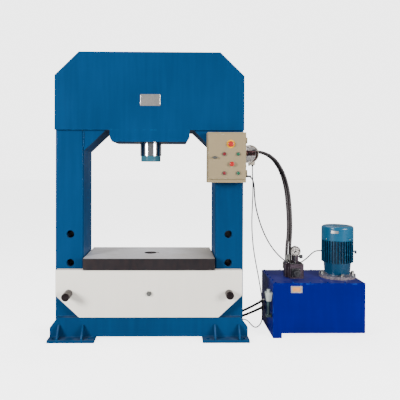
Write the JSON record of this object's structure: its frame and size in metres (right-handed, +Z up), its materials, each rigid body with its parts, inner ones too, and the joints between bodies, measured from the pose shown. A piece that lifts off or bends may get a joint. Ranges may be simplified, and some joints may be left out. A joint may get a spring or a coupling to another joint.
{
  "type": "hydraulic press",
  "caption": "Floor-standing straight-column press with a pinned table and bolster, a downward ram, a push-button box on the column and a separate oil tank with an upright motor.",
  "frame": {"origin": "on the floor mount: midway along the whole length, in the middle plane of the press frame", "axes": "+Z up, -Y towards the operator, +X from the frame towards the tank"},
  "size_m": [2.444, 0.691, 2.196],
  "materials": {
    "press_paint": "semi-gloss enamel with small scuffs",
    "cream_paint": "semi-gloss enamel",
    "tank_paint": "gloss enamel",
    "motor_paint": "gloss enamel",
    "teal_paint": "oily paint",
    "box_paint": "fine textured powder coat",
    "machined_steel": "ground, with oil streaks",
    "dark_steel": "blackened",
    "plated_steel": "zinc plate",
    "chrome_rod": "hard chrome, polished",
    "cast_body": "raw",
    "gauge_steel": "satin",
    "gauge_plastic": "aged",
    "gauge_glass": "clear",
    "dark_plastic": "black",
    "dark_red_plastic": "smooth",
    "red_plastic": "smooth",
    "green_plastic": "smooth",
    "bright_rings": "bright",
    "olive_plastic": "dusty",
    "level_plastic": "oily",
    "hose_rubber": "black braided-hose cover",
    "cable_sheath": "black"
  },
  "bodies": {
    "press": {"left_column": "press_paint", "right_column": "press_paint", "crown_front_plate": "press_paint", "crown_rear_plate": "press_paint", "crown_cover": "press_paint", "crown_webs": "press_paint", "corner_braces": "press_paint", "cylinder_beam": "press_paint", "base_channels": "press_paint", "feet": "press_paint", "front_table_plate": "cream_paint", "rear_table_plate": "cream_paint", "table_webs": "cream_paint", "bolster_plate": "machined_steel", "cylinder_barrel": "press_paint", "cylinder_gland": "machined_steel", "cylinder_pipes": "dark_steel", "hose_fittings": "plated_steel", "control_box": "box_paint", "contactor_panel": "dark_plastic", "contact_gauge": "gauge_plastic", "block_gauge": "gauge_steel", "gauge_glasses": "gauge_glass", "oil_tank": "tank_paint", "tank_lid": "tank_paint", "motor_flange": "motor_paint", "motor_frame": "motor_paint", "fan_cowl": "motor_paint", "motor_terminal_box": "motor_paint", "oil_pump": "cast_body", "valve_block": "dark_steel", "solenoid_valve": "dark_plastic", "level_gauge": "level_plastic", "bolts": "plated_steel", "cable_glands": "dark_plastic", "inner_main_hose": "hose_rubber", "outer_main_hose": "hose_rubber", "motor_cable": "cable_sheath", "gauge_cable": "cable_sheath", "upper_drain_hose": "hose_rubber", "lower_drain_hose": "hose_rubber"},
    "ram": {"ram": "chrome_rod", "ram_nose": "teal_paint"},
    "left_pin": {"left_table_pin": "dark_steel"},
    "right_pin": {"right_table_pin": "dark_steel"},
    "door": {"control_door": "box_paint", "button_bezels": "bright_rings", "contact_blocks": "dark_plastic"},
    "latch": {"door_latch": "plated_steel"},
    "pump_stop": {"pump_stop_button": "dark_red_plastic"},
    "pump_start": {"pump_start_button": "green_plastic"},
    "ram_down": {"ram_down_button": "dark_red_plastic"},
    "ram_up": {"ram_up_button": "green_plastic"},
    "estop": {"estop_button": "red_plastic"},
    "ram_stop": {"ram_stop_button": "red_plastic"},
    "contact_needle": {"contact_gauge_needle": "dark_plastic"},
    "block_needle": {"block_gauge_needle": "dark_plastic"},
    "rotor": {"motor_rotor": "dark_steel"},
    "relief_knob": {"relief_knob": "dark_plastic"},
    "filler_cap": {"filler_breather": "olive_plastic"}
  },
  "joints": [
    {"name": "ram_stroke", "type": "slide", "parent": "press", "child": "ram", "axis": [0, 0, -1], "range_m": [0, 0.3]},
    {"name": "left_pin_slide", "type": "slide", "parent": "press", "child": "left_pin", "axis": [0, -1, 0], "range_m": [0, 0.63]},
    {"name": "right_pin_slide", "type": "slide", "parent": "press", "child": "right_pin", "axis": [0, -1, 0], "range_m": [0, 0.63]},
    {"name": "door_hinge", "type": "hinge", "parent": "press", "child": "door", "pos_m": [0.268, -0.3253, 1.39], "axis": [0, 0, 1], "range_deg": [0, 120]},
    {"name": "latch_turn", "type": "hinge", "parent": "door", "child": "latch", "pos_m": [0.028, -0.3393, 1.389], "axis": [0, -1, 0], "range_deg": [0, 90]},
    {"name": "pump_stop_press", "type": "slide", "parent": "door", "child": "pump_stop", "axis": [0, 1, 0], "range_m": [0, 0.003], "stiffness_N_per_m": 600, "springref_m": -0.0005},
    {"name": "pump_start_press", "type": "slide", "parent": "door", "child": "pump_start", "axis": [0, 1, 0], "range_m": [0, 0.003], "stiffness_N_per_m": 600, "springref_m": -0.0005},
    {"name": "ram_down_press", "type": "slide", "parent": "door", "child": "ram_down", "axis": [0, 1, 0], "range_m": [0, 0.003], "stiffness_N_per_m": 600, "springref_m": -0.0005},
    {"name": "ram_up_press", "type": "slide", "parent": "door", "child": "ram_up", "axis": [0, 1, 0], "range_m": [0, 0.003], "stiffness_N_per_m": 600, "springref_m": -0.0005},
    {"name": "estop_press", "type": "slide", "parent": "door", "child": "estop", "axis": [0, 1, 0], "range_m": [0, 0.003], "stiffness_N_per_m": 600, "springref_m": -0.0005},
    {"name": "ram_stop_press", "type": "slide", "parent": "door", "child": "ram_stop", "axis": [0, 1, 0], "range_m": [0, 0.003], "stiffness_N_per_m": 600, "springref_m": -0.0005},
    {"name": "contact_needle_turn", "type": "hinge", "parent": "press", "child": "contact_needle", "pos_m": [0.348, 0.05, 1.425], "axis": [0, 1, 0], "range_deg": [0, 270]},
    {"name": "block_needle_turn", "type": "hinge", "parent": "press", "child": "block_needle", "pos_m": [0.705, -0.055, 0.643], "axis": [0, 1, 0], "range_deg": [0, 270]},
    {"name": "rotor_spin", "type": "hinge", "parent": "press", "child": "rotor", "pos_m": [1.066, 0.015, 0.6], "axis": [0, 0, 1], "continuous": true},
    {"name": "relief_adjust", "type": "hinge", "parent": "press", "child": "relief_knob", "pos_m": [0.735, -0.008, 0.591], "axis": [1, 0, 0], "range_deg": [-360, 360]},
    {"name": "filler_cap_turn", "type": "hinge", "parent": "press", "child": "filler_cap", "pos_m": [0.688, 0.19, 0.46], "axis": [0, 0, 1], "range_deg": [0, 60]}
  ]
}
